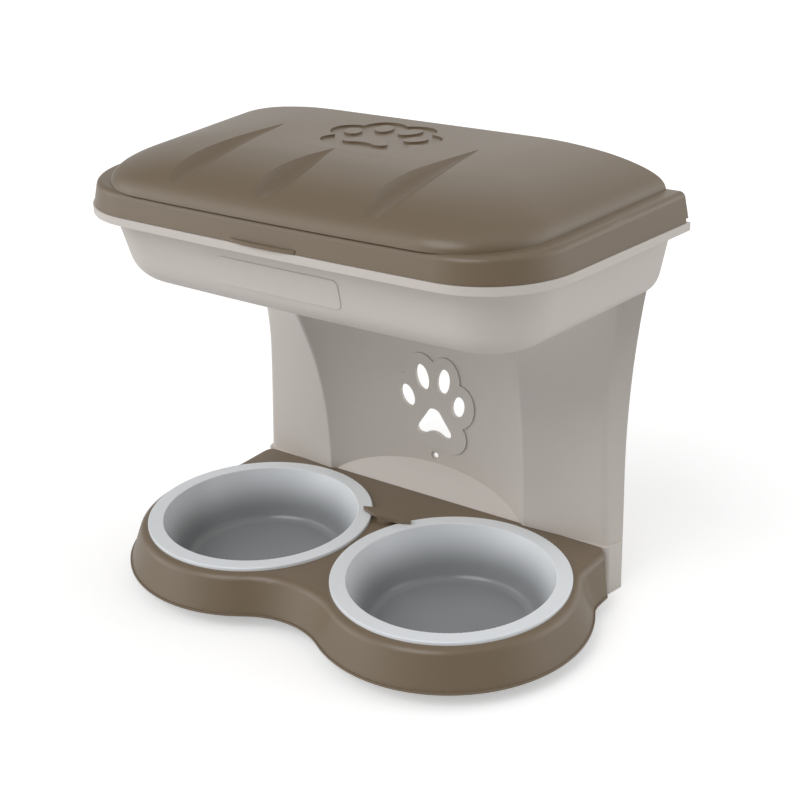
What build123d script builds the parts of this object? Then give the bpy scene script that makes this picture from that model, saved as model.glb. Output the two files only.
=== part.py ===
from build123d import *
import os
from math import atan2, cos, degrees, pi, radians, sin, sqrt, tan

# Dog bowl stand, in millimetres.
# The frame's origin lies on the floor, in the middle of the outline: +X right, +Y to the wall, +Z up.

# Bowls: spun cups that hang by their rims in the tray
bowl_pitch = 205.0
bowl_rim_radius = 100.0
bowl_mouth_radius = 86.7
bowl_floor_radius = 69.5
bowl_wall = 2.2
bowl_rim_thickness = 3.0
bowl_floor_fillet = 8.0
bowl_edge_round = 1.0
bowl_floor_gap = 0.5
seat_clearance = 0.6

# Tray: one moulding with two seats and a flared skirt that ends above the floor
tray_top = 46.2
tray_wall = 2.5
tray_circle_radius = 106.0
tray_edge_round = 8.0
skirt_angle = 20.6
skirt_lip_height = 14.0
skirt_lip_thickness = 2.0
skirt_lip_width = 0.6
waist_radius = 86.8
corner_blend_radius = 37.5
corner_step = 19.7
corner_cut_x = 182.0
corner_cut_angle = 41.7
seat_foot_radius = 76.5
tray_boss_radius = 5.0
tray_boss_length = 16.0
tray_boss_x = 156.0
tray_boss_height = 22.0

# Clip: a leaf on a stem that turns in the tray
clip_distance = 51.0
clip_length = 52.0
clip_width = 13.0
clip_thickness = 3.4
clip_rim_gap = 0.5
clip_boss_radius = 9.0
clip_boss_height = 12.0
clip_stem_radius = 4.0
clip_bore_clearance = 0.05
clip_washer_radius = 8.0
clip_washer_thickness = 1.2
clip_screw_radius = 1.5
clip_screw_length = 8.0
clip_screw_head_radius = 3.2
clip_screw_head_height = 2.0
clip_end_play = 0.3

# Column: a one-wall moulding, open at the wall, whose two pillars reach forward to carry the container
wall_distance = 130.2
column_wall = 2.2
foot_front = 109.6
foot_half_width = 188.0
foot_rear_step = 0.1
foot_corner_round = 6.0
column_half_width = 191.9
column_flare_start = 114.0
column_flare_radius = 960.0
pillar_edge_x = 106.7
pillar_edge_front = 106.4
pillar_sweep_start = 74.0
pillar_sweep_radius = 345.0
pillar_edge_spread = 0.00036
pillar_spread_start = 60.0
pillar_corner_x = 185.4
pillar_corner_front = 112.4
pillar_corner_waist = 5.4
pillar_corner_retreat = 0.00028
pillar_corner_round = 8.0
pillar_edge_round = 3.0
recess_back = 127.9
recess_edge_rise = 14.3
ramp_angle = 52.8
column_sections = 6
wall_hole_radius = 2.5
wall_hole_sink_radius = 4.5
wall_hole_sink_depth = 0.8
wall_hole_height = 78.1
upper_hole_height = 237.0
upper_hole_spacing = 50.0

# Paw: four toes and a pad cut through the column, inside a raised outline
paw_height = 131.0
paw_outer_toe = (27.5, 2.4)
paw_outer_toe_size = (6.9, 11.0)
paw_outer_toe_tilt = 19.0
paw_inner_toe = (11.5, 23.1)
paw_inner_toe_size = (7.0, 12.6)
paw_inner_toe_tilt = 12.0
paw_pad_top = -5.4
paw_pad_base = -32.3
paw_pad_half_width = 18.9
paw_pad_top_radius = 9.0
paw_pad_lobe_radius = 5.0
paw_pad_notch_depth = 3.7
paw_pad_notch_radius = 16.0
paw_border = 11.0
paw_border_lobe = (19.0, -28.5)
paw_border_lobe_radius = 17.0
paw_border_proud = 1.4

# Container: a deep basin with a flange that the lid closes on
container_bottom = 268.0
container_wall = 3.0
container_half_width = 203.6
container_front = 67.0
container_corner_radius = 56.0
container_draft = 10.0
container_bottom_round = 30.0
container_slant = 0.00055
front_bow = 4.0
container_overlap = 8.0
flange_top = 336.0
flange_lip_height = 6.5
flange_thickness = 2.5
flange_overhang = 1.0

# Lid: skirt, narrow ledge and dome
lid_gap = 0.3
lid_half_width = 215.6
lid_front = 82.3
lid_corner_radius = 74.0
lid_slant = 0.0005
lid_wall = 3.0
lid_skirt_height = 22.6
lid_skirt_lean = 4.0
lid_skirt_drop = 4.0
lid_skirt_round = 5.0
lid_tab_half_width = 31.0
lid_tab_depth = 3.0
lid_tab_height = 3.0
dome_foot_inset = 18.0
dome_front_inset = 3.0
dome_height = 26.6
dome_shoulder = 103.0
dome_corner_radius = 74.0
dome_corner_shrink = 0.25
dome_angles = (0, 15, 30, 45, 60, 72, 82, 90)
flute_tips = ((-104.0, 69.0), (-14.0, 22.0), (87.0, 72.0))
flute_fronts = (-98.0, -11.5, 90.0)
flute_front_gap = 9.0
flute_radius = 17.5
flute_depth = 7.0
flute_rings = (
    (0.0, 0.0, 0.8), (0.18, 0.85, 1.0), (0.35, 1.0, 1.0),
    (0.6, 0.7, 0.75), (0.85, 0.3, 0.3), (1.0, 0.0, 0.1))
lid_paw_centre = (-6.0, 73.5)
lid_paw_scale = (1.14, 0.88)
lid_paw_depth = 1.6

# Hinges: two pins through the container's ears and the lid's knuckles
hinge_x = 130.0
hinge_setback = 3.5
hinge_height = 4.1
hinge_pin_radius = 1.6
hinge_clearance = 0.05
hinge_ear_radius = 3.5
hinge_ear_width = 4.0
hinge_knuckle_width = 8.0
hinge_side_gap = 0.3
hinge_swing_radius = 5.6
hinge_rear_lift = 1.0

# Screws: pan heads, four in the container's floor and two in the foot
screw_radius = 2.0
screw_head_radius = 4.2
screw_head_height = 2.6
screw_length = 14.0
screw_boss_radius = 5.0
screw_boss_length = 14.0
screw_clearance = 0.3
container_screw_points = ((-146.0, 118.0), (-116.0, 84.0), (116.0, 84.0), (146.0, 118.0))

# Everything below is worked out from the sizes above
skirt_flare = (tray_top - skirt_lip_height) * tan(radians(skirt_angle))
depth = tray_circle_radius + skirt_flare + skirt_lip_width + wall_distance
wall_y = depth / 2
bowl_y = wall_y - wall_distance
bowl_half_pitch = bowl_pitch / 2
bowl_rim_top = tray_top + bowl_rim_thickness
seat_radius = bowl_mouth_radius + bowl_wall + seat_clearance
tray_rear_y = bowl_y + foot_front
reach = 2 * (flange_top + lid_skirt_height + dome_height)
foot_top = tray_top + lid_gap
column_top = container_bottom + container_overlap
lid_bottom = flange_top + lid_gap
dome_foot = lid_bottom + lid_skirt_height
hinge_y = wall_y - hinge_setback
hinge_z = flange_top + hinge_height
hinge_span = hinge_knuckle_width + 2 * hinge_ear_width + 2 * hinge_side_gap
clip_boss_bottom = tray_top - clip_boss_height
clip_stem_bottom = clip_boss_bottom - clip_end_play

# How a solid stands on its point: on its base, below its top, or behind its front
ON_BASE = (Align.CENTER, Align.CENTER, Align.MIN)
BELOW_TOP = (Align.CENTER, Align.CENTER, Align.MAX)
BEHIND = (Align.CENTER, Align.MIN, Align.MIN)


def export_node(shape, name):
    """Write one node's solids as parts/NAME.step."""
    shape.label = name
    export_step(shape, f"parts/{name}.step")


def polar(centre, radius, angle):
    """The point at an angle and a radius round a centre."""
    return (centre[0] + radius * cos(angle), centre[1] + radius * sin(angle))


def wire_of(points_and_arcs, height):
    """A closed wire at one height, from lines (2 points) and arcs (3 points)."""
    edges = []
    for item in points_and_arcs:
        points = [(x, y, height) for x, y in item]
        edges.append(Line(*points) if len(points) == 2 else ThreePointArc(*points))
    return Wire(edges)


def round_corners(face, corners, radius):
    """Round a flat face at the corners nearest to the given points."""
    return fillet([face.vertices().sort_by_distance((x, y, 0))[0] for x, y in corners], radius)


# Bowls
def make_bowl(side):
    """One bowl as a turned cup, left at -1 and right at 1."""
    outer_top = bowl_mouth_radius + bowl_wall
    floor = bowl_floor_gap
    inner_floor = floor + bowl_wall
    outer_floor_radius = bowl_floor_radius + bowl_wall
    profile = Polyline(
        (0, floor), (outer_floor_radius, floor), (outer_top, tray_top), (bowl_rim_radius, tray_top),
        (bowl_rim_radius, bowl_rim_top), (bowl_mouth_radius, bowl_rim_top), (bowl_floor_radius, inner_floor),
        (0, inner_floor), close=True)
    face = make_face(profile)
    face = round_corners(face, [(bowl_floor_radius, inner_floor)], bowl_floor_fillet)
    face = round_corners(face, [(outer_floor_radius, floor)], bowl_floor_fillet + bowl_wall)
    rim_corners = [(bowl_rim_radius, bowl_rim_top), (bowl_mouth_radius, bowl_rim_top)]
    face = round_corners(face, rim_corners, bowl_edge_round)
    cup = revolve(Plane.XZ * face, Axis.Z)
    return Pos(side * bowl_half_pitch, bowl_y, 0) * cup


# Tray
def tray_outline(grow, height):
    """The tray's outline seen from above: two circles, a waist between them and two straight rear ends."""
    radius = tray_circle_radius + grow
    waist = waist_radius - grow
    blend = corner_blend_radius - grow
    side = bowl_half_pitch + tray_circle_radius - corner_step + grow
    waist_y = -sqrt((radius + waist) ** 2 - bowl_half_pitch ** 2)
    share = waist / (radius + waist)
    touch = (bowl_half_pitch * share, waist_y - waist_y * share)
    start = atan2(waist_y, -bowl_half_pitch)
    blend_x = side + blend
    blend_y = sqrt((radius + blend) ** 2 - (blend_x - bowl_half_pitch) ** 2)
    end = atan2(blend_y, blend_x - bowl_half_pitch)
    centre = (bowl_half_pitch, 0)
    meet = polar(centre, radius, end)
    middle = polar(centre, radius, (start + end) / 2)
    blend_middle = polar((blend_x, blend_y), blend, end / 2 + pi)
    rear = foot_front + tray_edge_round
    right = [
        (touch, middle, meet),
        (meet, blend_middle, (side, blend_y)),
        ((side, blend_y), (side, rear)),
    ]
    left = [tuple((-x, y) for x, y in reversed(item)) for item in reversed(right)]
    waist_arc = ((-touch[0], touch[1]), (0, waist_y + waist), touch)
    ring = [waist_arc] + right + [((side, rear), (-side, rear))] + left
    moved = [tuple((x, y + bowl_y) for x, y in item) for item in ring]
    return wire_of(moved, height)


def skirt_spread(height):
    """How far the tray's skirt stands out at a height."""
    return (tray_top - height) * tan(radians(skirt_angle))


def tray_block(grow, low, top, edge_round):
    """The tray's solid envelope between two heights, with its front top edges rounded."""
    lower = make_face(tray_outline(skirt_spread(low) + grow, low))
    upper = make_face(tray_outline(skirt_spread(top) + grow, top))
    block = loft([lower, upper], ruled=True)
    rear = bowl_y + foot_front + tray_edge_round
    top_edges = block.edges().filter_by(lambda e: e.center().Z > top - 0.01)
    front_edges = top_edges.filter_by(lambda e: e.center().Y < rear - 0.01)
    return fillet(front_edges, edge_round)


def rear_limit(inset):
    """The room in front of the column's foot, with the two slanted rear corners."""
    slope = 1 / tan(radians(corner_cut_angle))
    y = tray_rear_y - inset
    x = corner_cut_x - inset
    side = reach
    corner_y = y - (side - x) * slope
    right = [(x, y), (side, corner_y), (side, -reach)]
    left = [(-x_at, y_at) for x_at, y_at in reversed(right)]
    outline = Polyline(*right, *left, close=True)
    return Pos(0, 0, -reach / 2) * extrude(make_face(outline), reach)


def make_tray():
    """The tray: a hollow skirt, two seats, the clip's boss and two screw bosses."""
    lip_top = skirt_lip_height + skirt_lip_thickness
    outer = tray_block(0, lip_top, tray_top, tray_edge_round)
    lip_face = make_face(tray_outline(skirt_spread(skirt_lip_height) + skirt_lip_width, skirt_lip_height))
    outer = outer + extrude(lip_face, skirt_lip_thickness, dir=(0, 0, 1))
    outer = outer & rear_limit(0)
    inner_round = tray_edge_round - tray_wall
    inner = tray_block(-tray_wall, skirt_lip_height - 1, tray_top - tray_wall, inner_round)
    inner = inner & rear_limit(tray_wall)
    tray = outer - inner
    for side in (-1, 1):
        at = Pos(side * bowl_half_pitch, bowl_y, 0)
        cup_outer = Cone(seat_foot_radius + tray_wall, seat_radius + tray_wall, tray_top, align=ON_BASE)
        cup_inner = Cone(seat_foot_radius, seat_radius, tray_top, align=ON_BASE)
        tray = tray + at * cup_outer
        tray = tray - at * cup_inner
    clip_at = Pos(0, bowl_y + clip_distance, clip_boss_bottom)
    boss_height = tray_top - clip_boss_bottom
    tray = tray + clip_at * extrude(Circle(clip_boss_radius), boss_height)
    tray = tray - clip_at * extrude(Circle(clip_stem_radius + clip_bore_clearance), boss_height)
    for side in (-1, 1):
        start = (side * tray_boss_x, tray_rear_y, tray_boss_height)
        plane = Plane(start, x_dir=(1, 0, 0), z_dir=(0, -1, 0))
        tray = tray + extrude(plane * Circle(tray_boss_radius), tray_boss_length)
        tray = tray - extrude(plane * Circle(screw_radius), tray_boss_length - tray_wall)
    return tray


# Column
def column_half_width_at(height):
    """Half the column's width at the wall, which flares towards the container."""
    rise = max(0.0, height - column_flare_start)
    return column_half_width + column_flare_radius - sqrt(column_flare_radius ** 2 - rise ** 2)


def pillar_edge_at(height):
    """The inner front edge of a pillar, as its x and its distance from the bowl line."""
    rise = max(0.0, height - pillar_sweep_start)
    sweep = pillar_sweep_radius - sqrt(pillar_sweep_radius ** 2 - rise ** 2)
    spread = pillar_edge_spread * max(0.0, height - pillar_spread_start) ** 2
    return pillar_edge_x + spread, pillar_edge_front - sweep


def pillar_corner_at(height):
    """The outer front corner of a pillar, as its x and its distance from the bowl line."""
    share = (height - tray_top) / (container_bottom - tray_top)
    waist = pillar_corner_waist * sin(pi * min(1.0, max(0.0, share)))
    retreat = pillar_corner_retreat * max(0.0, height - tray_top) ** 2
    return pillar_corner_x - waist, pillar_corner_front + retreat


def line_offset(start, end, distance):
    """The line through two points, moved to its right by distance, as a point and a direction."""
    dx, dy = end[0] - start[0], end[1] - start[1]
    size = sqrt(dx * dx + dy * dy)
    return (start[0] + dy / size * distance, start[1] - dx / size * distance), (dx / size, dy / size)


def crossing(first, second):
    """The point where two lines meet, each given as a point and a direction."""
    (px, py), (ux, uy) = first
    (qx, qy), (vx, vy) = second
    share = ((qx - px) * vy - (qy - py) * vx) / (ux * vy - uy * vx)
    return (px + ux * share, py + uy * share)


def column_section(height, inset):
    """The column's block in plan: a ridge in front, that the recess takes away, and two slanted sides."""
    edge = pillar_edge_at(height)
    corner = pillar_corner_at(height)
    rear = (column_half_width_at(height), wall_distance)
    front = line_offset(corner, edge, inset)
    side = line_offset(rear, corner, inset)
    rear_line = ((0, wall_distance + inset), (1, 0))
    new_corner = crossing(front, side)
    new_rear = crossing(side, rear_line)
    ridge = crossing(front, ((0, 0), (0, 1)))
    half = [ridge, new_corner, new_rear]
    ring = half + [(-x, y) for x, y in reversed(half[1:])]
    face = make_face(Polyline(*[(x, y + bowl_y) for x, y in ring], close=True))
    corners = [(side * new_corner[0], new_corner[1] + bowl_y) for side in (-1, 1)]
    return Pos(0, 0, height) * round_corners(face, corners, pillar_corner_round - inset)


def recess_section(height, grow):
    """The recess in plan: half an ellipse at the back and straight sides to the front."""
    edge_x, edge_y = pillar_edge_at(height)
    centre = edge_y - recess_edge_rise
    back = recess_back - centre
    half = edge_x / sqrt(1 - (recess_edge_rise / back) ** 2) + grow
    back = back + grow
    middle = centre + bowl_y
    ellipse = Pos(0, middle) * Ellipse(half, back)
    front = Pos(0, middle) * Rectangle(2 * half, reach, align=(Align.CENTER, Align.MAX))
    behind = ellipse & (Pos(0, middle) * Rectangle(2 * half, reach, align=(Align.CENTER, Align.MIN)))
    return Pos(0, 0, height) * (behind + front)


def steps(low, top, count):
    """Evenly spaced values from low to top."""
    return [low + (top - low) * step / (count - 1) for step in range(count)]


def half_space(point_y, point_z, angle):
    """Everything above a plane that rises to the back at an angle."""
    normal = (0, -sin(radians(angle)), cos(radians(angle)))
    plane = Plane((0, point_y + bowl_y, point_z), x_dir=(1, 0, 0), z_dir=normal)
    return extrude(plane * Rectangle(2 * reach, 2 * reach), reach)


def recess_tool(grow):
    """What the recess takes away, ending below at the sloping panel."""
    low = tray_top - grow - 1
    scoop = loft([recess_section(z, grow) for z in steps(low, column_top + 1, column_sections)])
    return scoop & half_space(foot_front, foot_top - grow / cos(radians(ramp_angle)), ramp_angle)


def foot_section(inset):
    """The column's foot in plan."""
    half = foot_half_width - inset
    rear = column_half_width + foot_rear_step - inset
    front = foot_front + inset
    back = wall_distance + inset
    face = make_face(Polyline((-half, front), (half, front), (rear, back), (-rear, back), close=True))
    return Pos(0, bowl_y) * round_corners(face, [(-half, front), (half, front)], foot_corner_round - inset)


def column_block(inset, low, top):
    """The column's envelope without its recess."""
    return loft([column_section(z, inset) for z in steps(low, top, column_sections)])


def round_pillar_edges(block):
    """Round the two long edges where the recess meets the pillars' fronts."""
    edges = []
    for edge in block.edges():
        middle = edge.position_at(1 / 2)
        x, y = pillar_edge_at(middle.Z)
        if abs(abs(middle.X) - x) < 1 and abs(middle.Y - bowl_y - y) < 1:
            edges.append(edge)
    return fillet(edges, pillar_edge_round)


def paw_toes(grow):
    """The four toes as ellipses that lean outward."""
    toes = Sketch()
    for side in (-1, 1):
        for place, size, tilt in (
                (paw_outer_toe, paw_outer_toe_size, paw_outer_toe_tilt),
                (paw_inner_toe, paw_inner_toe_size, paw_inner_toe_tilt)):
            toe = Ellipse(size[0] + grow, size[1] + grow)
            toes = toes + Pos(side * place[0], place[1]) * Rot(0, 0, -side * tilt) * toe
    return toes


def hull_of_circles(circles):
    """The outline stretched round some circles, given as x, y and radius."""
    edges = []
    for x, y, radius in circles:
        edges += (Pos(x, y) * Circle(radius)).edges()
    return make_hull(edges)


def paw_holes():
    """The four toes and the notched pad, as one sketch."""
    x = paw_pad_half_width - paw_pad_lobe_radius
    y = paw_pad_base + paw_pad_lobe_radius
    top_y = paw_pad_top - paw_pad_top_radius
    pad = hull_of_circles([
        (0, top_y, paw_pad_top_radius), (-x, y, paw_pad_lobe_radius), (x, y, paw_pad_lobe_radius)])
    notch_y = paw_pad_base + paw_pad_notch_depth - paw_pad_notch_radius
    pad = pad - Pos(0, notch_y) * Circle(paw_pad_notch_radius)
    return paw_toes(0) + pad


def paw_outline():
    """The lobed outline round the paw."""
    x, y = paw_border_lobe
    top_y = paw_pad_top - paw_pad_top_radius
    base = hull_of_circles([
        (0, top_y, paw_pad_top_radius + paw_border),
        (-x, y, paw_border_lobe_radius),
        (x, y, paw_border_lobe_radius)])
    return paw_toes(paw_border) + base


def wall_plane_at(height, y):
    """A plane that faces the front at a height and a distance from the bowl line."""
    return Plane((0, y + bowl_y, height), x_dir=(1, 0, 0), z_dir=(0, -1, 0))


def cylinder_to_wall(x, height, radius, front, back):
    """A round bar along Y between two distances from the bowl line."""
    plane = Plane((x, back + bowl_y, height), x_dir=(1, 0, 0), z_dir=(0, -1, 0))
    return extrude(plane * Circle(radius), back - front)


def make_column():
    """The column: hollow foot and pillars, sloping panel, paw, wall holes and screw bosses."""
    foot = extrude(foot_section(0), foot_top)
    foot_hollow = Pos(0, 0, -1) * extrude(foot_section(column_wall), foot_top - column_wall + 1)
    block = column_block(0, foot_top, column_top)
    hollow = column_block(column_wall, foot_top, column_top)
    outer = round_pillar_edges(block - recess_tool(0)) - container_envelope(0)
    inner = hollow - recess_tool(column_wall) - container_envelope(column_wall)
    column = outer + foot - inner - foot_hollow
    paw_plane = wall_plane_at(paw_height, recess_back + column_wall + 1)
    border = extrude(paw_plane * paw_outline(), 2 * recess_edge_rise + column_wall)
    border = (border & recess_tool(0)) - recess_tool(-paw_border_proud)
    column = column + border
    column = column - extrude(paw_plane * paw_holes(), 2 * recess_edge_rise + column_wall)
    front = recess_back - 1
    back = recess_back + column_wall + 1
    column = column - cylinder_to_wall(0, wall_hole_height, wall_hole_radius, front, back)
    sink_back = recess_back + wall_hole_sink_depth
    column = column - cylinder_to_wall(0, wall_hole_height, wall_hole_sink_radius, front, sink_back)
    for side in (-1, 1):
        x = side * upper_hole_spacing / 2
        column = column - cylinder_to_wall(x, upper_hole_height, wall_hole_radius, front - 2, back)
        x = side * tray_boss_x
        bore = screw_radius + screw_clearance
        foot_back = foot_front + column_wall + 1
        column = column - cylinder_to_wall(x, tray_boss_height, bore, foot_front - 1, foot_back)
    for x, y in container_screw_points:
        boss = Cylinder(screw_boss_radius, screw_boss_length, align=BELOW_TOP)
        column = column + Pos(x, y + bowl_y, container_bottom - column_wall) * boss
    for x, y in container_screw_points:
        depth_of_hole = screw_length + 1
        hole = Cylinder(screw_radius, depth_of_hole, align=BELOW_TOP)
        column = column - Pos(x, y + bowl_y, container_bottom) * hole
    return column


# Container
def basin_loop(half, front, corner, slant, bow, height):
    """A basin or lid outline: bowed front, two round corners, sides that spread to the wall."""
    y = bowl_y - front
    rear_half = half * (1 + slant * (wall_y - y))
    points = [(half, y), (rear_half, wall_y), (-rear_half, wall_y), (-half, y)]
    front_arc = ThreePointArc(points[3], (0, y - bow), points[0])
    sides = [Line(start, end) for start, end in zip(points, points[1:])]
    face = make_face([front_arc, *sides])
    return Pos(0, 0, height) * round_corners(face, [points[0], points[3]], corner)


def container_loop(inset, height):
    """The container's outline at a height, moved inward."""
    half = container_half_width - inset
    front = container_front - inset
    return basin_loop(half, front, container_corner_radius, container_slant, front_bow, height)


def container_envelope(grow):
    """The container's body as a solid, grown outward and downward."""
    low = container_bottom - grow
    slope = tan(radians(container_draft))
    top = container_loop(-grow, flange_top)
    bottom = container_loop((flange_top - low) * slope - grow, low)
    body = loft([bottom, top], ruled=True)
    edges = body.edges().filter_by(lambda e: e.center().Z < low + 0.01 and e.center().Y < wall_y - 0.01)
    return fillet(edges, container_bottom_round + grow)


def lid_loop(inset, height):
    """The lid's outline at a height, moved inward."""
    corner = lid_corner_radius - inset
    return basin_loop(lid_half_width - inset, lid_front - inset, corner, lid_slant, front_bow, height)


def make_container():
    """The container: basin, folded flange, hinge ears and screw holes."""
    outline_grow = -flange_overhang
    lip_bottom = flange_top - flange_lip_height
    flange = extrude(lid_loop(outline_grow, lip_bottom), flange_lip_height)
    under_face = lid_loop(outline_grow + flange_thickness, lip_bottom)
    under = extrude(under_face, flange_lip_height - flange_thickness)
    container = flange - under + container_envelope(0)
    cavity = container_cavity()
    container = container - cavity
    for side in (-1, 1):
        for ear_side in (-1, 1):
            container = container + hinge_ear(side, ear_side)
    for side in (-1, 1):
        container = container - hinge_bar(side * hinge_x, hinge_pin_radius, hinge_span)
    for x, y in container_screw_points:
        hole = Cylinder(screw_radius + screw_clearance, 3 * container_wall)
        container = container - Pos(x, y + bowl_y, container_bottom) * hole
    return container


def container_cavity():
    """The room inside the container."""
    slope = tan(radians(container_draft))
    low = container_bottom + container_wall
    top = inner_loop(container_wall, flange_top + 1)
    bottom = inner_loop((flange_top - low) * slope + container_wall, low)
    body = loft([bottom, top], ruled=True)
    rear = wall_y - container_wall - 0.01
    edges = body.edges().filter_by(lambda e: e.center().Z < low + 0.01 and e.center().Y < rear)
    return fillet(edges, container_bottom_round - container_wall)


def inner_loop(inset, height):
    """A container loop that also stays clear of the rear wall."""
    room = Rectangle(2 * reach, 2 * reach, align=(Align.CENTER, Align.MAX))
    return container_loop(inset, height) & Pos(0, wall_y - container_wall, height) * room


def hinge_bar(x, radius, length):
    """A round bar on the hinge axis, centred at x."""
    plane = Plane((x - length / 2, hinge_y, hinge_z), x_dir=(0, 1, 0), z_dir=(1, 0, 0))
    return extrude(plane * Circle(radius), length)


def hinge_ear(side, ear_side):
    """One ear of a hinge, standing on the flange."""
    x = side * hinge_x + ear_side * (hinge_knuckle_width + hinge_ear_width + 2 * hinge_side_gap) / 2
    round_part = hinge_bar(x, hinge_ear_radius, hinge_ear_width)
    low = flange_top - flange_thickness
    foot = Pos(x, hinge_y, low) * Box(hinge_ear_width, 2 * hinge_ear_radius, hinge_z - low, align=ON_BASE)
    return round_part + foot


# Lid
def tilt(face, height, drop):
    """Leans a loop forward about its rear edge, so that its front lies lower."""
    angle = atan2(drop, lid_front + wall_distance)
    hinge = Pos(0, wall_y, height)
    return hinge * Rot(degrees(angle), 0, 0) * hinge.inverse() * face


def dome_sections(inset, rise):
    """Loops of the dome from its foot to its crown, on an elliptic shoulder."""
    loops = []
    for angle in dome_angles:
        share = sin(radians(angle))
        height = dome_foot + (dome_height + rise) * share
        shoulder = dome_shoulder * (1 - cos(radians(angle)))
        loops.append(tilt(dome_loop(inset + shoulder, height), height, lid_skirt_drop * (1 - share)))
    return loops


def dome_loop(inset, height):
    """The dome's outline at a height, moved inward."""
    half = lid_half_width - dome_foot_inset - inset
    front = lid_front - dome_front_inset - inset
    corner = dome_corner_radius - inset * dome_corner_shrink
    return basin_loop(half, front, corner, lid_slant, front_bow, height)


def make_dome(inset, rise):
    """The dome as a solid, moved inward and raised."""
    return loft(dome_sections(inset, rise))


def lid_skirt(inset, drop):
    """The lid's skirt as a solid, with its round top edge."""
    top = dome_foot - drop
    lower = lid_loop(inset, lid_bottom)
    upper = tilt(lid_loop(inset + lid_skirt_lean, top), top, lid_skirt_drop)
    body = loft([lower, upper], ruled=True)
    low = top - lid_skirt_drop - 1
    edges = body.edges().filter_by(lambda e: e.bounding_box().min.Z > low and e.center().Y < wall_y - 1)
    return fillet(edges, lid_skirt_round)


def dome_height_at(y):
    """The dome's height in its middle, at a distance from the bowl line."""
    run = y + lid_front - dome_front_inset
    rise = sqrt(1 - (1 - min(1.0, max(0.0, run / dome_shoulder))) ** 2)
    drop = lid_skirt_drop * (wall_distance - y) / (lid_front + wall_distance)
    return dome_foot + dome_height * rise - drop * (1 - rise)


def flute(front_x, tip, grow):
    """One claw mark: rings along the dome, deepest near the front, that end in a point at the back."""
    front_y = dome_front_inset + flute_front_gap - lid_front
    rings = []
    for share, depth_share, size_share in flute_rings:
        x = front_x + (tip[0] - front_x) * share
        y = front_y + (tip[1] - front_y) * share
        rise = dome_height_at(y + 1) - dome_height_at(y - 1)
        angle = atan2(rise, 2)
        radius = flute_radius * size_share
        lift = radius - flute_depth * depth_share
        centre = (x, y + bowl_y - lift * sin(angle), dome_height_at(y) + lift * cos(angle))
        plane = Plane(centre, x_dir=(1, 0, 0), z_dir=(0, cos(angle), sin(angle)))
        rings.append(plane * Circle(radius + grow))
    return loft(rings)


def lid_paw_tool(sketch, depth):
    """What sinks a sketch of the paw into the dome, down to a depth below its surface."""
    x, y = lid_paw_centre
    flat = scale(sketch, (*lid_paw_scale, 1))
    prism = Pos(x, y + bowl_y, dome_foot) * extrude(flat, 2 * dome_height)
    return prism - make_dome(depth, -depth)


def lid_tab():
    """The thumb tab at the middle of the lid's front edge."""
    y = bowl_y - lid_front - front_bow
    plate = extrude(Ellipse(lid_tab_half_width, lid_tab_depth), lid_tab_height)
    return Pos(0, y, lid_bottom) * plate


def make_lid():
    """The lid: skirt, dome, sunk paw, three claw marks, a thumb tab and two knuckles."""
    outer = lid_skirt(0, 0) + make_dome(0, 0) + lid_tab()
    outer = outer - lid_paw_tool(paw_outline() - paw_holes(), lid_paw_depth)
    inner = lid_skirt(lid_wall, lid_wall) + make_dome(lid_wall, -lid_wall)
    inner = inner - lid_paw_tool(paw_outline(), lid_paw_depth + lid_wall)
    for front_x, tip in zip(flute_fronts, flute_tips):
        outer = outer - flute(front_x, tip, 0)
        inner = inner - flute(front_x, tip, lid_wall)
    before_wall = (Align.CENTER, Align.MAX, Align.CENTER)
    inner = inner & (Pos(0, wall_y - lid_wall, 0) * Box(2 * reach, 2 * reach, 2 * reach, align=before_wall))
    lid = outer - inner
    rear_height = hinge_z - hinge_rear_lift - lid_bottom
    lid = lid - Pos(0, hinge_y, lid_bottom) * Box(2 * reach, reach, rear_height, align=BEHIND)
    for side in (-1, 1):
        x = side * hinge_x
        lid = lid - hinge_bar(x, hinge_swing_radius, hinge_span + 2 * hinge_side_gap)
        slot = Pos(x, hinge_y - hinge_swing_radius, lid_bottom) * Box(
            hinge_span + 2 * hinge_side_gap, reach, hinge_z - lid_bottom, align=BEHIND)
        lid = lid - slot
        knuckle = hinge_bar(x, hinge_ear_radius, hinge_knuckle_width)
        arm = Pos(x, hinge_y, hinge_z) * Box(
            hinge_knuckle_width, 2 * hinge_ear_radius, 2 * hinge_swing_radius, align=ON_BASE)
        lid = lid + knuckle + arm
        lid = lid - hinge_bar(x, hinge_pin_radius + hinge_clearance, hinge_knuckle_width + 2)
    return lid


# Clip
def leaf(length, width):
    """A lens with two pointed ends."""
    half = length / 2
    upper = ThreePointArc((-half, 0), (0, width / 2), (half, 0))
    lower = ThreePointArc((half, 0), (0, -width / 2), (-half, 0))
    return make_face([upper, lower])


def make_clip():
    """A leaf blade on a hub and a stem that passes down through the tray."""
    low = bowl_rim_top + clip_rim_gap
    blade = extrude(leaf(clip_length, clip_width), clip_thickness)
    hub_height = low - tray_top - clip_end_play
    hub = Pos(0, 0, -hub_height) * extrude(Circle(clip_boss_radius), hub_height)
    stem_height = low - clip_stem_bottom
    stem = Pos(0, 0, -stem_height) * extrude(Circle(clip_stem_radius), stem_height)
    hole = Pos(0, 0, -stem_height) * extrude(Circle(clip_screw_radius), clip_screw_length)
    return Pos(0, bowl_y + clip_distance, low) * (blade + hub + stem - hole)


def make_clip_washer():
    """The washer under the clip's stem."""
    ring = Circle(clip_washer_radius) - Circle(clip_screw_radius)
    low = clip_stem_bottom - clip_washer_thickness
    return Pos(0, bowl_y + clip_distance, low) * extrude(ring, clip_washer_thickness)


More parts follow.
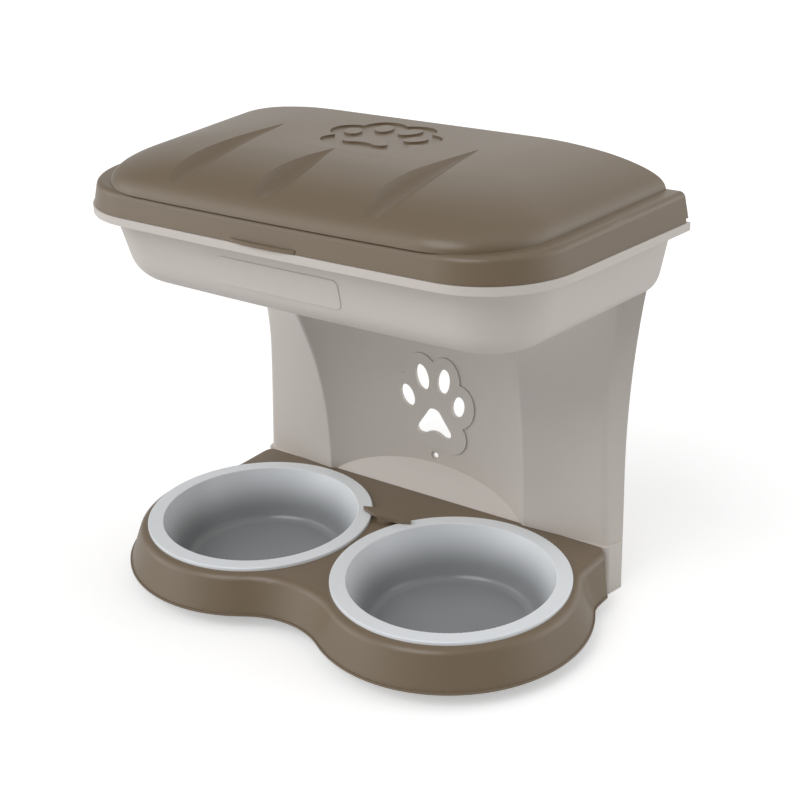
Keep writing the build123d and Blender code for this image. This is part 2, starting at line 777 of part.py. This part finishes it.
def pan_screw(radius, length, head_radius, head_height):
    """A pan-head screw that points up the Z axis from the seat of its head at z = 0."""
    head_face = make_face(Polyline(
        (0, -head_height), (head_radius, -head_height), (head_radius, 0), (0, 0), close=True))
    head_face = round_corners(head_face, [(head_radius, -head_height)], head_height / 2)
    head = revolve(Plane.XZ * head_face, Axis.Z)
    tip = radius / 2
    shank = extrude(Circle(radius), length - tip)
    point = Pos(0, 0, length - tip) * Cone(radius, radius / 2, tip, align=ON_BASE)
    slot = Pos(0, 0, -head_height) * Box(head_radius, radius / 2, head_height / 2)
    cross = Pos(0, 0, -head_height) * Box(radius / 2, head_radius, head_height / 2)
    return head + shank + point - slot - cross


def make_clip_screw():
    """The screw that holds the washer on the clip's stem."""
    bottom = clip_stem_bottom - clip_washer_thickness
    length = clip_screw_length + clip_washer_thickness - 1
    screw = pan_screw(clip_screw_radius, length, clip_screw_head_radius, clip_screw_head_height)
    return Pos(0, bowl_y + clip_distance, bottom) * screw


def make_container_screws():
    """Four screws, heads in the container and points down in the column's bosses."""
    screw = Rot(180, 0, 0) * pan_screw(screw_radius, screw_length, screw_head_radius, screw_head_height)
    height = container_bottom + container_wall
    return Compound(children=[Pos(x, y + bowl_y, height) * screw for x, y in container_screw_points])


def make_tray_screws():
    """Two screws from the open back of the foot into the tray."""
    screw = Rot(90, 0, 0) * pan_screw(screw_radius, screw_length, screw_head_radius, screw_head_height)
    y = bowl_y + foot_front + column_wall
    return Compound(children=[Pos(side * tray_boss_x, y, tray_boss_height) * screw for side in (-1, 1)])


def make_hinge_pin(side):
    """One hinge pin, left at -1 and right at 1."""
    return hinge_bar(side * hinge_x, hinge_pin_radius, hinge_span)


def make_nodes():
    """Every node's shape by its name."""
    return {
        "lid": make_lid(),
        "container": make_container(),
        "column": make_column(),
        "bowl_tray": make_tray(),
        "bowl_left": make_bowl(-1),
        "bowl_right": make_bowl(1),
        "bowl_clip": make_clip(),
        "clip_washer": make_clip_washer(),
        "clip_screw": make_clip_screw(),
        "hinge_pin_left": make_hinge_pin(-1),
        "hinge_pin_right": make_hinge_pin(1),
        "container_screws": make_container_screws(),
        "tray_screws": make_tray_screws(),
    }


if __name__ == "__main__":
    os.makedirs("parts", exist_ok=True)
    for name, shape in make_nodes().items():
        export_node(shape, name)
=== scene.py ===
"""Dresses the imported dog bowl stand: its finishes, a bare plate, a pale floor, soft light and a camera."""

from __future__ import annotations

import logging
import math
from dataclasses import dataclass, field
from enum import Enum
from typing import Any

import bmesh
import bpy
from mathutils import Matrix, Vector


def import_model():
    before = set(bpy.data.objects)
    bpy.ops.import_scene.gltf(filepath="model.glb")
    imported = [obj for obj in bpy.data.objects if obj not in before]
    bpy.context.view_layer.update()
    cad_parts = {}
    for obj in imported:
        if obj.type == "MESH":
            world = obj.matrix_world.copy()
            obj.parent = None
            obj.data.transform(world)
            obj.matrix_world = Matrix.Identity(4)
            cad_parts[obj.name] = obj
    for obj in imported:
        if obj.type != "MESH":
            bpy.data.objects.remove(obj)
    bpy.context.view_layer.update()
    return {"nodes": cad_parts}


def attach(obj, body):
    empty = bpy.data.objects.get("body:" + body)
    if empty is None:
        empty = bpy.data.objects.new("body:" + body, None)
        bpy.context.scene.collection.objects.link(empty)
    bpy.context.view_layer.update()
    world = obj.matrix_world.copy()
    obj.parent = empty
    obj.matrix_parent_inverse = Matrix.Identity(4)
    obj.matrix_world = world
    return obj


LOG = logging.getLogger("bowl_stand")
WHITE = (1.0, 1.0, 1.0, 1.0)

Triple = tuple[float, float, float]
Nodes = dict[str, bpy.types.Object]


class Socket:
    """A shader socket that can be used in Python arithmetic."""

    def __init__(self, graph: Graph, link: Any) -> None:
        """Keeps the graph and the output socket it stands for."""
        self.graph = graph
        self.link = link

    def __add__(self, other: Socket | float) -> Socket:
        """This value plus another."""
        return self.graph.maths("ADD", self, other)

    def __radd__(self, other: float) -> Socket:
        """A number plus this value."""
        return self.graph.maths("ADD", other, self)

    def __sub__(self, other: Socket | float) -> Socket:
        """This value minus another."""
        return self.graph.maths("SUBTRACT", self, other)

    def __rsub__(self, other: float) -> Socket:
        """A number minus this value."""
        return self.graph.maths("SUBTRACT", other, self)

    def __mul__(self, other: Socket | float) -> Socket:
        """This value times another."""
        return self.graph.maths("MULTIPLY", self, other)

    def __rmul__(self, other: float) -> Socket:
        """A number times this value."""
        return self.graph.maths("MULTIPLY", other, self)

    def __pow__(self, other: Socket | float) -> Socket:
        """This value to the power of another."""
        return self.graph.maths("POWER", self, other)

    def __rpow__(self, other: float) -> Socket:
        """A number to the power of this value."""
        return self.graph.maths("POWER", other, self)


class Graph:
    """The node graph of one material or of the world."""

    def __init__(self, tree: bpy.types.NodeTree) -> None:
        """Keeps the tree and empties it."""
        self.tree = tree
        self.tree.nodes.clear()

    def node(
        self, kind: str, settings: dict[str, Any] | None = None, inputs: dict[str | int, Any] | None = None
    ) -> bpy.types.Node:
        """Adds one node.

        Args:
            kind: The node's Blender type.
            settings: Properties of the node, which are set first.
            inputs: Values or links by socket name or number.

        Returns:
            The new node.
        """
        made = self.tree.nodes.new(kind)
        for name, value in (settings or {}).items():
            setattr(made, name, value)
        for name, value in (inputs or {}).items():
            if isinstance(value, Socket):
                self.tree.links.new(value.link, made.inputs[name])
            else:
                made.inputs[name].default_value = value
        return made

    def out(self, made: bpy.types.Node, name: str | int = 0) -> Socket:
        """One output of a node."""
        return Socket(self, made.outputs[name])

    def maths(self, operation: str, first: Socket | float, second: Socket | float) -> Socket:
        """One Math node on two values."""
        return self.out(self.node("ShaderNodeMath", {"operation": operation}, {0: first, 1: second}))

    def place(self) -> Socket:
        """The point in the object's own space, in metres."""
        return self.out(self.node("ShaderNodeTexCoord"), "Object")

    def noise(self, at: Socket, scale: float, detail: float = 3.0, rough: float = 0.55) -> Socket:
        """A noise value between 0 and 1.

        Args:
            at: Where the noise is read.
            scale: Features per metre.
            detail: How many octaves it has.
            rough: How strong the small octaves are.

        Returns:
            The noise value.
        """
        return self.out(self.node("ShaderNodeTexNoise", {}, {
            "Vector": at, "Scale": scale, "Detail": detail, "Roughness": rough}))

    def scale(self, colour: Socket, factor: Socket | float) -> Socket:
        """A colour times a number."""
        made = self.node("ShaderNodeVectorMath", {"operation": "SCALE"}, {"Vector": colour, "Scale": factor})
        return self.out(made, "Vector")

    def along(self, first: Socket, direction: Vector) -> Socket:
        """How far one vector points along a fixed direction, from 0 to 1."""
        made = self.node("ShaderNodeVectorMath", {"operation": "DOT_PRODUCT"}, {0: first, 1: direction})
        return self.maths("MAXIMUM", self.out(made, "Value"), 0.0)

    def blend(self, share: Socket, low: Triple, high: Triple) -> Socket:
        """A colour between two by a share."""
        mix = self.node("ShaderNodeMix", {"data_type": "RGBA"}, {0: share, 6: (*low, 1.0), 7: (*high, 1.0)})
        return self.out(mix, 2)

    def bump(self, height: Socket, depth: float, strength: float) -> Socket:
        """The normal of a surface with a fine texture, whose depth is in metres."""
        made = self.node("ShaderNodeBump", {}, {"Strength": strength, "Distance": depth, "Height": height})
        return self.out(made)

    def surface(self, shader: Socket) -> None:
        """Makes a shader the material's surface."""
        self.node("ShaderNodeOutputMaterial", {}, {"Surface": shader})


def new_material(name: str) -> tuple[bpy.types.Material, Graph]:
    """Makes an empty node material.

    Args:
        name: The material's name.

    Returns:
        The material and its graph.
    """
    made = bpy.data.materials.new(name)
    made.use_nodes = True
    return made, Graph(made.node_tree)


def link_object(name: str, data: Any) -> bpy.types.Object:
    """Puts an object into the scene.

    Args:
        name: The object's name.
        data: Its mesh, camera or light.

    Returns:
        The new object.
    """
    made = bpy.data.objects.new(name, data)
    bpy.context.scene.collection.objects.link(made)
    return made


def compass(azimuth: float, elevation: float) -> Vector:
    """The direction to a compass angle from the front and a height, both in degrees.

    Args:
        azimuth: The angle round the stand, from its front towards its right.
        elevation: The angle above the floor.

    Returns:
        The direction, one metre long.
    """
    turn, rise = math.radians(azimuth), math.radians(elevation)
    return Vector((math.sin(turn) * math.cos(rise), -math.cos(turn) * math.cos(rise), math.sin(rise)))


def linear(red: int, green: int, blue: int) -> Triple:
    """A display colour as linear light, by the usual display curve.

    Args:
        red: The red channel, from 0 to 255.
        green: The green channel.
        blue: The blue channel.

    Returns:
        The three channels as linear light.
    """
    def channel(value: int) -> float:
        """One channel as linear light."""
        share = value / 255
        return share / 12.92 if share <= 0.04045 else ((share + 0.055) / 1.055) ** 2.4
    return channel(red), channel(green), channel(blue)


@dataclass(frozen=True)
class MouldedPlastic:
    """A moulded plastic: cloudy colour, a fine spark-eroded texture and slightly uneven gloss."""

    name: str
    colour: Triple
    cloud: float
    roughness: float
    roughness_spread: float
    grain_per_metre: float = 1400.0
    grain_depth: float = 0.00003
    grain_strength: float = 0.6
    cloud_per_metre: float = 9.0
    mottle_per_metre: float = 160.0
    mottle_share: float = 0.3
    wipe_per_metre: float = 22.0
    # how dark the painted shade inside a hollow gets, and the heights over which it fades in
    painted_shade_factor: float = 1.0
    painted_shade_range: tuple[float, float] = (0.0, 1.0)

    def shade(self, factor: float) -> Triple:
        """The finish's colour made lighter or darker by a factor."""
        return tuple(min(1.0, channel * factor) for channel in self.colour)

    def material(self) -> bpy.types.Material:
        """Makes the material.

        Returns:
            A node material with colour, gloss and texture that vary over the surface.
        """
        made, graph = new_material(self.name)
        at = graph.place()
        cloud = graph.noise(at, self.cloud_per_metre, detail=2.0)
        mottle = graph.noise(at, self.mottle_per_metre)
        share = cloud * (1 - self.mottle_share) + mottle * self.mottle_share
        colour = graph.blend(share, self.shade(1 - self.cloud), self.shade(1 + self.cloud))
        # painted shade: the colour is darkened lower down inside a hollow
        if self.painted_shade_factor < 1.0:
            colour = self.paint_hollow_shade(graph, at, colour)
        grain = graph.noise(at, self.grain_per_metre, detail=2.0, rough=0.6)
        wipe = graph.noise(at, self.wipe_per_metre, detail=4.0)
        rough = wipe * self.roughness_spread + (self.roughness - self.roughness_spread / 2)
        shader = graph.node("ShaderNodeBsdfPrincipled", {}, {
            "Base Color": colour, "Roughness": rough,
            "Normal": graph.bump(grain, self.grain_depth, self.grain_strength)})
        graph.surface(graph.out(shader))
        return made

    def paint_hollow_shade(self, graph: Graph, at: Socket, colour: Socket) -> Socket:
        """Paints shade into a hollow: the colour falls smoothly to a darker tone lower down, standing in for
        shade.

        Args:
            graph: The material's node graph.
            at: The point in the object's own space.
            colour: The colour at the top.

        Returns:
            The colour with its painted shade by height.
        """
        low, high = self.painted_shade_range
        height = graph.out(graph.node("ShaderNodeSeparateXYZ", {}, {0: at}), "Z")
        share = graph.out(graph.node("ShaderNodeMapRange", {"interpolation_type": "SMOOTHSTEP"}, {
            "Value": height, "From Min": low, "From Max": high, "To Min": self.painted_shade_factor, "To Max": 1.0}))
        return graph.scale(colour, share)


@dataclass(frozen=True)
class ZincSteel:
    """Zinc-plated steel: a fine crystal pattern in its colour and gloss, and faint streaks."""

    name: str
    colour: Triple = (0.55, 0.55, 0.54)
    dark_factor: float = 0.88
    roughness: float = 0.27
    roughness_spread: float = 0.15
    crystals_per_metre: float = 900.0
    streaks_per_metre: float = 3000.0
    streak_depth: float = 0.00002
    streak_strength: float = 0.3

    def material(self) -> bpy.types.Material:
        """Makes the material.

        Returns:
            A metal node material with colour, gloss and texture that vary over the surface.
        """
        made, graph = new_material(self.name)
        at = graph.place()
        crystal = graph.noise(at, self.crystals_per_metre)
        streak = graph.noise(at, self.streaks_per_metre, detail=1.0)
        dark = tuple(channel * self.dark_factor for channel in self.colour)
        shader = graph.node("ShaderNodeBsdfPrincipled", {}, {
            "Base Color": graph.blend(crystal, dark, self.colour), "Metallic": 1.0,
            "Roughness": crystal * self.roughness_spread + self.roughness,
            "Normal": graph.bump(streak, self.streak_depth, self.streak_strength)})
        graph.surface(graph.out(shader))
        return made


class Finish(Enum):
    """The finishes that the stand's pieces can have."""

    TAUPE = MouldedPlastic(
        "taupe_plastic", linear(122, 107, 88), cloud=0.03, roughness=0.32, roughness_spread=0.06)
    WARM_GREY = MouldedPlastic(
        "warm_grey_plastic", linear(213, 206, 199), cloud=0.015, roughness=0.45, roughness_spread=0.08)
    # the bowls' colour darkens towards their floor: painted shade standing in for the shade inside them
    BOWL = MouldedPlastic(
        "bowl_plastic", linear(236, 240, 244), cloud=0.012, roughness=0.20, roughness_spread=0.05,
        grain_per_metre=900.0, grain_depth=0.00002, painted_shade_factor=0.33, painted_shade_range=(0.012, 0.0484))
    ZINC = ZincSteel("zinc_steel")


@dataclass
class Palette:
    """The materials of the finishes."""

    made: dict[Finish, bpy.types.Material] = field(default_factory=dict)

    def of(self, finish: Finish) -> bpy.types.Material:
        """The material of a finish, made the first time it is asked for.

        Args:
            finish: Which finish it is.

        Returns:
            Its material.
        """
        if finish not in self.made:
            self.made[finish] = finish.value.material()
        return self.made[finish]


@dataclass
class Assembly:
    """Some of the part's own pieces, which share one finish."""

    pieces: tuple[str, ...]
    finish: Finish

    def build(self, nodes: Nodes, palette: Palette) -> None:
        """Dresses the pieces in their finish, in all their slots.

        Args:
            nodes: The CAD nodes by name.
            palette: The finishes' materials.
        """
        for name in self.pieces:
            for slot in nodes[name].material_slots:
                slot.material = palette.of(self.finish)
            LOG.info("dressed %s", name)


@dataclass
class Lid(Assembly):
    """The domed lid."""

    pieces: tuple[str, ...] = ("lid",)
    finish: Finish = Finish.TAUPE


@dataclass
class Column(Assembly):
    """The column that carries the container."""

    pieces: tuple[str, ...] = ("column",)
    finish: Finish = Finish.WARM_GREY


@dataclass
class BowlTray(Assembly):
    """The tray and the turning clip between its bowls."""

    pieces: tuple[str, ...] = ("bowl_tray", "bowl_clip")
    finish: Finish = Finish.TAUPE


@dataclass
class Bowls(Assembly):
    """The two bowls."""

    pieces: tuple[str, ...] = ("bowl_left", "bowl_right")
    finish: Finish = Finish.BOWL


@dataclass
class Fasteners(Assembly):
    """The screws, the washer and the hinge pins."""

    pieces: tuple[str, ...] = (
        "clip_washer", "clip_screw", "hinge_pin_left", "hinge_pin_right", "container_screws", "tray_screws")
    finish: Finish = Finish.ZINC


@dataclass
class Container(Assembly):
    """The food container, with its front wall's sizes, and the bare plate on it, in metres and degrees."""

    pieces: tuple[str, ...] = ("container",)
    finish: Finish = Finish.WARM_GREY
    bowl_line: float = -0.0057484
    front: float = 0.067
    half_width: float = 0.2036
    flange_top: float = 0.336
    draft: float = 10.0
    bow: float = 0.004
    plate_left: float = -0.065
    plate_right: float = 0.053
    plate_low: float = 0.290
    plate_top: float = 0.3145
    plate_corner: float = 0.005
    plate_proud: float = 0.0008
    plate_sunk: float = 0.0006
    plate_edge: float = 0.0004
    corner_steps: int = 6
    span_steps: int = 12

    def build(self, nodes: Nodes, palette: Palette) -> None:
        """Dresses the container and adds its plate.

        Args:
            nodes: The CAD nodes by name.
            palette: The finishes' materials.
        """
        super().build(nodes, palette)
        plate = self.plate()
        plate.data.materials.append(palette.of(self.finish))
        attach(plate, "stand")
        LOG.info("built %s", plate.name)

    def wall(self, x: float, z: float) -> float:
        """The y of the container's front wall.

        Args:
            x: The place across.
            z: The height.

        Returns:
            The y of the bowed and slanted wall there.
        """
        inset = (self.flange_top - z) * math.tan(math.radians(self.draft))
        half = self.half_width - inset
        radius = (half * half + self.bow * self.bow) / (2 * self.bow)
        return self.bowl_line - self.front + inset - self.bow + radius - math.sqrt(radius * radius - x * x)

    def outline(self, inset: float, proud: float) -> list[Triple]:
        """One outline of the plate, a rounded rectangle that follows the wall.

        Args:
            inset: How far it lies inside the plate's outer edge.
            proud: How far it stands proud of the wall.

        Returns:
            The upper row from left to right, then the lower row from left to right.
        """
        left, right = self.plate_left + inset, self.plate_right - inset
        low, top = self.plate_low + inset, self.plate_top - inset
        corner = self.plate_corner - inset
        turns = [math.radians(90 * step / self.corner_steps) for step in range(self.corner_steps + 1)]
        curve = [(corner * (1 - math.sin(turn)), corner * (1 - math.cos(turn))) for turn in turns]
        span = right - left - 2 * corner
        row = [(left + across, cut) for across, cut in reversed(curve)]
        row += [(left + corner + span * step / self.span_steps, 0.0) for step in range(1, self.span_steps)]
        row += [(right - across, cut) for across, cut in curve]
        edge = [(x, top - cut) for x, cut in row] + [(x, low + cut) for x, cut in row]
        return [(x, self.wall(x, z) - proud, z) for x, z in edge]

    def faces(self, row: int, levels: int) -> list[tuple[int, ...]]:
        """The faces that join the plate's outlines and close its back and its front.

        Args:
            row: How many points the upper and the lower row of an outline have each.
            levels: How many outlines there are.

        Returns:
            The point numbers of each face.
        """
        count = 2 * row
        loop = list(range(row)) + list(range(count - 1, row - 1, -1))
        sides = [
            (low + here, low + there, low + count + there, low + count + here)
            for low in range(0, (levels - 1) * count, count)
            for here, there in zip(loop, loop[1:] + loop[:1])]
        ends = [
            (low + at, low + at + 1, low + row + at + 1, low + row + at)
            for low in (0, (levels - 1) * count)
            for at in range(row - 1)]
        return sides + ends

    def plate(self) -> bpy.types.Object:
        """Builds the bare plate as a closed mesh with a fine chamfer.

        Returns:
            The plate's object.
        """
        outlines = [
            self.outline(0.0, -self.plate_sunk), self.outline(0.0, self.plate_proud - self.plate_edge),
            self.outline(self.plate_edge, self.plate_proud)]
        mesh = bpy.data.meshes.new("container_plate")
        mesh.from_pydata(
            [point for outline in outlines for point in outline], [],
            self.faces(len(outlines[0]) // 2, len(outlines)))
        shaper = bmesh.new()
        shaper.from_mesh(mesh)
        bmesh.ops.recalc_face_normals(shaper, faces=shaper.faces)
        shaper.to_mesh(mesh)
        shaper.free()
        return link_object("container_plate", mesh)


@dataclass(frozen=True)
class Glow:
    """One soft patch of light in the room, by its compass angle and its height in degrees."""

    azimuth: float
    elevation: float
    strength: float
    sharpness: float = 6.0

    def light(self, graph: Graph, way: Socket) -> Socket:
        """The patch's brightness in each direction of the room."""
        return graph.along(way, compass(self.azimuth, self.elevation)) ** self.sharpness * self.strength


@dataclass
class Studio:
    """A pale floor, a softly lit white room and the camera, in metres and degrees.

    The camera was solved from the photograph. The glows' strengths were fitted to its tones, and some
    were then changed.
    """

    target: Triple = (0.0156, 0.09425, 0.14814)
    azimuth: float = 35.3135
    elevation: float = 23.8312
    roll: float = -1.4635
    distance: float = 1.26458
    lens_mm: float = 64.929
    film_width_mm: float = 36.0
    shift: tuple[float, float] = (-0.03797, -0.00034)
    sight: float = 100.0
    floor_size: float = 30.0
    floor_shade: float = 0.84
    seen_shade: float = 0.82
    seen_glow: float = 0.42
    glows: tuple[Glow, ...] = (
        Glow(-55, 10, 2.12), Glow(-25, 10, 0.25), Glow(125, 10, 1.90), Glow(155, 10, 0.34),
        Glow(185, 10, 0.56), Glow(215, 10, 0.57), Glow(80, 50, 0.18), Glow(125, 50, 0.23), Glow(0, 90, 0.58))
    sun_azimuth: float = -4.0
    sun_elevation: float = 48.0
    sun_spread: float = 38.0
    sun_strength: float = 1.05

    def build(self) -> None:
        """Makes all of the studio and reports each piece."""
        for make in (self.camera, self.floor, self.world, self.lamp):
            make()
            LOG.info("set up the %s", make.__name__)

    def camera(self) -> None:
        """Places the camera at the photograph's angle."""
        back = compass(self.azimuth, self.elevation)
        right = (-back).cross(Vector((0, 0, 1))).normalized()
        up = right.cross(-back)
        roll = math.radians(self.roll)
        turned_right = right * math.cos(roll) + up * math.sin(roll)
        turned_up = up * math.cos(roll) - right * math.sin(roll)
        data = bpy.data.cameras.new("camera")
        data.lens = self.lens_mm
        data.sensor_width = self.film_width_mm
        data.shift_x, data.shift_y = self.shift
        data.clip_end = self.sight
        camera = link_object("camera", data)
        turn = Matrix((turned_right, turned_up, back)).transposed().to_4x4()
        camera.matrix_world = Matrix.Translation(Vector(self.target) + back * self.distance) @ turn
        bpy.context.scene.camera = camera

    def floor(self) -> None:
        """Lays the floor."""
        half = self.floor_size / 2
        corners = [(-half, -half, 0), (half, -half, 0), (half, half, 0), (-half, half, 0)]
        mesh = bpy.data.meshes.new("floor")
        mesh.from_pydata(corners, [], [(0, 1, 2, 3)])
        mesh.materials.append(self.floor_paint())
        link_object("floor", mesh)

    def floor_paint(self) -> bpy.types.Material:
        """Makes the floor's paint, which shows white to the camera and keeps the shadow.

        Returns:
            The floor's material.
        """
        made, graph = new_material("floor_paint")
        paint = graph.node("ShaderNodeBsdfDiffuse", {}, {"Color": (*[self.floor_shade] * 3, 1.0)})
        seen_paint = graph.node("ShaderNodeBsdfDiffuse", {}, {"Color": (*[self.seen_shade] * 3, 1.0)})
        glow = graph.node("ShaderNodeEmission", {}, {"Color": WHITE, "Strength": self.seen_glow})
        seen = graph.node("ShaderNodeAddShader", {}, {0: graph.out(seen_paint), 1: graph.out(glow)})
        by_camera = graph.out(graph.node("ShaderNodeLightPath"), "Is Camera Ray")
        mix = graph.node("ShaderNodeMixShader", {}, {0: by_camera, 1: graph.out(paint), 2: graph.out(seen)})
        graph.surface(graph.out(mix))
        return made

    def world(self) -> None:
        """Fills the room with soft patches of light and shows white behind everything."""
        world = bpy.data.worlds.new("studio")
        world.use_nodes = True
        graph = Graph(world.node_tree)
        way = graph.out(graph.node("ShaderNodeTexCoord"), "Generated")
        light = self.glows[0].light(graph, way)
        for glow in self.glows[1:]:
            light = light + glow.light(graph, way)
        seen = graph.out(graph.node("ShaderNodeLightPath"), "Is Camera Ray")
        strength = seen + (1.0 - seen) * light
        sky = graph.node("ShaderNodeBackground", {}, {"Color": WHITE, "Strength": strength})
        graph.node("ShaderNodeOutputWorld", {}, {"Surface": graph.out(sky)})
        bpy.context.scene.world = world

    def lamp(self) -> None:
        """Hangs the wide soft lamp in front, whose shadow falls behind the stand."""
        data = bpy.data.lights.new("front_lamp", "SUN")
        data.energy = self.sun_strength
        data.angle = math.radians(self.sun_spread)
        lamp = link_object("front_lamp", data)
        way = compass(self.sun_azimuth, self.sun_elevation)
        lamp.matrix_world = way.to_track_quat("Z", "Y").to_matrix().to_4x4()


def main() -> None:
    """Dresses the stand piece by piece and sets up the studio."""
    logging.basicConfig(level=logging.INFO, format="%(message)s")
    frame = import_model()
    palette = Palette()
    for assembly in (Lid(), Container(), Column(), BowlTray(), Bowls(), Fasteners()):
        assembly.build(frame["nodes"], palette)
    Studio().build()
    bpy.context.scene.view_settings.view_transform = "Standard"


if __name__ == "__main__":
    main()
